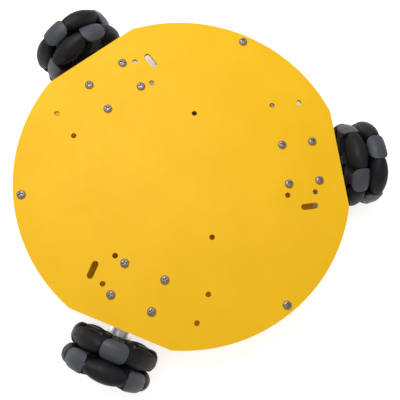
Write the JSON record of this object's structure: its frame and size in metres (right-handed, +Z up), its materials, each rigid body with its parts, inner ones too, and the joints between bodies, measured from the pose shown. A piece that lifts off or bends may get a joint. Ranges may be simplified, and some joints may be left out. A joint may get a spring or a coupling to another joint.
{
  "type": "omni wheel robot",
  "caption": "Round-deck mobile robot base with radial gear motors and double-row omni wheels whose barrel rollers spin freely, and a lower tray for battery and controller.",
  "frame": {"origin": "centre of the deck's top face, on the robot's vertical axis", "axes": "+Z up, out of the deck's top face; +X towards the front wheel, along its axle; the rear left wheel is 120 degrees counterclockwise from it, seen from above"},
  "size_m": [0.2442, 0.2563, 0.058],
  "materials": {
    "deck_paint": "warm yellow powder coat, satin",
    "roller_rubber": "black, matt with a slight sheen",
    "hub_plastic": "moulded dark grey",
    "black_plastic": "moulded black",
    "bare_aluminium": "bare, machined or bent sheet",
    "steel": "bright",
    "motor_case": "nickel-plated steel, satin",
    "circuit_board": "dark blue solder mask",
    "cell_wrap": "shrink-wrapped"
  },
  "bodies": {
    "chassis": {"battery_holder": "black_plastic", "controller_board": "circuit_board", "deck": "deck_paint", "front_encoder": "circuit_board", "front_gearbox": "steel", "front_motor_bracket": "bare_aluminium", "front_motor_can": "motor_case", "inner_battery_cell": "cell_wrap", "left_standoff": "bare_aluminium", "lower_tray": "deck_paint", "outer_battery_cell": "cell_wrap", "rear_left_encoder": "circuit_board", "rear_left_gearbox": "steel", "rear_left_motor_bracket": "bare_aluminium", "rear_left_motor_can": "motor_case", "rear_right_encoder": "circuit_board", "rear_right_gearbox": "steel", "rear_right_motor_bracket": "bare_aluminium", "rear_right_motor_can": "motor_case", "rear_standoff": "bare_aluminium", "right_standoff": "bare_aluminium"},
    "front_wheel": {"front_inner_hub": "hub_plastic", "front_outer_hub": "hub_plastic", "front_output_shaft": "steel", "front_wheel_coupling": "bare_aluminium", "front_wheel_screw": "steel"},
    "rear_left_wheel": {"rear_left_inner_hub": "hub_plastic", "rear_left_outer_hub": "hub_plastic", "rear_left_output_shaft": "steel", "rear_left_wheel_coupling": "bare_aluminium", "rear_left_wheel_screw": "steel"},
    "rear_right_wheel": {"rear_right_inner_hub": "hub_plastic", "rear_right_outer_hub": "hub_plastic", "rear_right_output_shaft": "steel", "rear_right_wheel_coupling": "bare_aluminium", "rear_right_wheel_screw": "steel"},
    "front_inner_roller_1": {"front_inner_roller_1": "roller_rubber"},
    "front_inner_roller_2": {"front_inner_roller_2": "roller_rubber"},
    "front_inner_roller_3": {"front_inner_roller_3": "roller_rubber"},
    "front_inner_roller_4": {"front_inner_roller_4": "roller_rubber"},
    "front_outer_roller_1": {"front_outer_roller_1": "roller_rubber"},
    "front_outer_roller_2": {"front_outer_roller_2": "roller_rubber"},
    "front_outer_roller_3": {"front_outer_roller_3": "roller_rubber"},
    "front_outer_roller_4": {"front_outer_roller_4": "roller_rubber"},
    "rear_left_inner_roller_1": {"rear_left_inner_roller_1": "roller_rubber"},
    "rear_left_inner_roller_2": {"rear_left_inner_roller_2": "roller_rubber"},
    "rear_left_inner_roller_3": {"rear_left_inner_roller_3": "roller_rubber"},
    "rear_left_inner_roller_4": {"rear_left_inner_roller_4": "roller_rubber"},
    "rear_left_outer_roller_1": {"rear_left_outer_roller_1": "roller_rubber"},
    "rear_left_outer_roller_2": {"rear_left_outer_roller_2": "roller_rubber"},
    "rear_left_outer_roller_3": {"rear_left_outer_roller_3": "roller_rubber"},
    "rear_left_outer_roller_4": {"rear_left_outer_roller_4": "roller_rubber"},
    "rear_right_inner_roller_1": {"rear_right_inner_roller_1": "roller_rubber"},
    "rear_right_inner_roller_2": {"rear_right_inner_roller_2": "roller_rubber"},
    "rear_right_inner_roller_3": {"rear_right_inner_roller_3": "roller_rubber"},
    "rear_right_inner_roller_4": {"rear_right_inner_roller_4": "roller_rubber"},
    "rear_right_outer_roller_1": {"rear_right_outer_roller_1": "roller_rubber"},
    "rear_right_outer_roller_2": {"rear_right_outer_roller_2": "roller_rubber"},
    "rear_right_outer_roller_3": {"rear_right_outer_roller_3": "roller_rubber"},
    "rear_right_outer_roller_4": {"rear_right_outer_roller_4": "roller_rubber"}
  },
  "joints": [
    {"name": "front_wheel_spin", "type": "hinge", "parent": "chassis", "child": "front_wheel", "pos_m": [0.1208, 0, -0.0221], "axis": [1, 0, 0], "continuous": true},
    {"name": "rear_left_wheel_spin", "type": "hinge", "parent": "chassis", "child": "rear_left_wheel", "pos_m": [-0.0604, 0.10462, -0.0221], "axis": [-0.5, 0.866, 0], "continuous": true},
    {"name": "rear_right_wheel_spin", "type": "hinge", "parent": "chassis", "child": "rear_right_wheel", "pos_m": [-0.0604, -0.10462, -0.0221], "axis": [-0.5, -0.866, 0], "continuous": true},
    {"name": "front_inner_roller_1_spin", "type": "hinge", "parent": "front_wheel", "child": "front_inner_roller_1", "pos_m": [0.1143, -0.02246, -0.01914], "axis": [0, -0.1305, -0.9914], "continuous": true},
    {"name": "front_inner_roller_2_spin", "type": "hinge", "parent": "front_wheel", "child": "front_inner_roller_2", "pos_m": [0.1143, -0.00296, -0.04456], "axis": [0, 0.9914, -0.1305], "continuous": true},
    {"name": "front_inner_roller_3_spin", "type": "hinge", "parent": "front_wheel", "child": "front_inner_roller_3", "pos_m": [0.1143, 0.02246, -0.02506], "axis": [0, 0.1305, 0.9914], "continuous": true},
    {"name": "front_inner_roller_4_spin", "type": "hinge", "parent": "front_wheel", "child": "front_inner_roller_4", "pos_m": [0.1143, 0.00296, 0.00036], "axis": [0, -0.9914, 0.1305], "continuous": true},
    {"name": "front_outer_roller_1_spin", "type": "hinge", "parent": "front_wheel", "child": "front_outer_roller_1", "pos_m": [0.1273, -0.01379, -0.00413], "axis": [0, -0.7934, -0.6088], "continuous": true},
    {"name": "front_outer_roller_2_spin", "type": "hinge", "parent": "front_wheel", "child": "front_outer_roller_2", "pos_m": [0.1273, -0.01797, -0.03589], "axis": [0, 0.6088, -0.7934], "continuous": true},
    {"name": "front_outer_roller_3_spin", "type": "hinge", "parent": "front_wheel", "child": "front_outer_roller_3", "pos_m": [0.1273, 0.01379, -0.04007], "axis": [0, 0.7934, 0.6088], "continuous": true},
    {"name": "front_outer_roller_4_spin", "type": "hinge", "parent": "front_wheel", "child": "front_outer_roller_4", "pos_m": [0.1273, 0.01797, -0.00831], "axis": [0, -0.6088, 0.7934], "continuous": true},
    {"name": "rear_left_inner_roller_1_spin", "type": "hinge", "parent": "rear_left_wheel", "child": "rear_left_inner_roller_1", "pos_m": [-0.03909, 0.10941, -0.01325], "axis": [0.3384, 0.1954, -0.9205], "continuous": true},
    {"name": "rear_left_inner_roller_2_spin", "type": "hinge", "parent": "rear_left_wheel", "child": "rear_left_inner_roller_2", "pos_m": [-0.04949, 0.10341, -0.04295], "axis": [-0.7972, -0.4603, -0.3907], "continuous": true},
    {"name": "rear_left_inner_roller_3_spin", "type": "hinge", "parent": "rear_left_wheel", "child": "rear_left_inner_roller_3", "pos_m": [-0.07521, 0.08856, -0.03095], "axis": [-0.3384, -0.1954, 0.9205], "continuous": true},
    {"name": "rear_left_inner_roller_4_spin", "type": "hinge", "parent": "rear_left_wheel", "child": "rear_left_inner_roller_4", "pos_m": [-0.06481, 0.09456, -0.00125], "axis": [0.7972, 0.4603, 0.3907], "continuous": true},
    {"name": "rear_left_outer_roller_1_spin", "type": "hinge", "parent": "rear_left_wheel", "child": "rear_left_outer_roller_1", "pos_m": [-0.0563, 0.11449, -0.0011], "axis": [0.803, 0.4636, -0.3746], "continuous": true},
    {"name": "rear_left_outer_roller_2_spin", "type": "hinge", "parent": "rear_left_wheel", "child": "rear_left_outer_roller_2", "pos_m": [-0.04546, 0.12075, -0.03058], "axis": [-0.3244, -0.1873, -0.9272], "continuous": true},
    {"name": "rear_left_outer_roller_3_spin", "type": "hinge", "parent": "rear_left_wheel", "child": "rear_left_outer_roller_3", "pos_m": [-0.071, 0.106, -0.0431], "axis": [-0.803, -0.4636, 0.3746], "continuous": true},
    {"name": "rear_left_outer_roller_4_spin", "type": "hinge", "parent": "rear_left_wheel", "child": "rear_left_outer_roller_4", "pos_m": [-0.08184, 0.09974, -0.01362], "axis": [0.3244, 0.1873, 0.9272], "continuous": true},
    {"name": "rear_right_inner_roller_1_spin", "type": "hinge", "parent": "rear_right_wheel", "child": "rear_right_inner_roller_1", "pos_m": [-0.06976, -0.09171, -0.00475], "axis": [-0.6634, 0.383, -0.6428], "continuous": true},
    {"name": "rear_right_inner_roller_2_spin", "type": "hinge", "parent": "rear_right_wheel", "child": "rear_right_inner_roller_2", "pos_m": [-0.07218, -0.09031, -0.03666], "axis": [0.5567, -0.3214, -0.766], "continuous": true},
    {"name": "rear_right_inner_roller_3_spin", "type": "hinge", "parent": "rear_right_wheel", "child": "rear_right_inner_roller_3", "pos_m": [-0.04454, -0.10627, -0.03945], "axis": [0.6634, -0.383, 0.6428], "continuous": true},
    {"name": "rear_right_inner_roller_4_spin", "type": "hinge", "parent": "rear_right_wheel", "child": "rear_right_inner_roller_4", "pos_m": [-0.04212, -0.10766, -0.00754], "axis": [-0.5567, 0.3214, 0.766], "continuous": true},
    {"name": "rear_right_outer_roller_1_spin", "type": "hinge", "parent": "rear_right_wheel", "child": "rear_right_outer_roller_1", "pos_m": [-0.06194, -0.11123, 0.00046], "axis": [-0.8627, 0.4981, 0.0872], "continuous": true},
    {"name": "rear_right_outer_roller_2_spin", "type": "hinge", "parent": "rear_right_wheel", "child": "rear_right_outer_roller_2", "pos_m": [-0.08319, -0.09896, -0.02013], "axis": [-0.0755, 0.0436, -0.9962], "continuous": true},
    {"name": "rear_right_outer_roller_3_spin", "type": "hinge", "parent": "rear_right_wheel", "child": "rear_right_outer_roller_3", "pos_m": [-0.06536, -0.10926, -0.04466], "axis": [0.8627, -0.4981, -0.0872], "continuous": true},
    {"name": "rear_right_outer_roller_4_spin", "type": "hinge", "parent": "rear_right_wheel", "child": "rear_right_outer_roller_4", "pos_m": [-0.04411, -0.12153, -0.02407], "axis": [0.0755, -0.0436, 0.9962], "continuous": true}
  ]
}
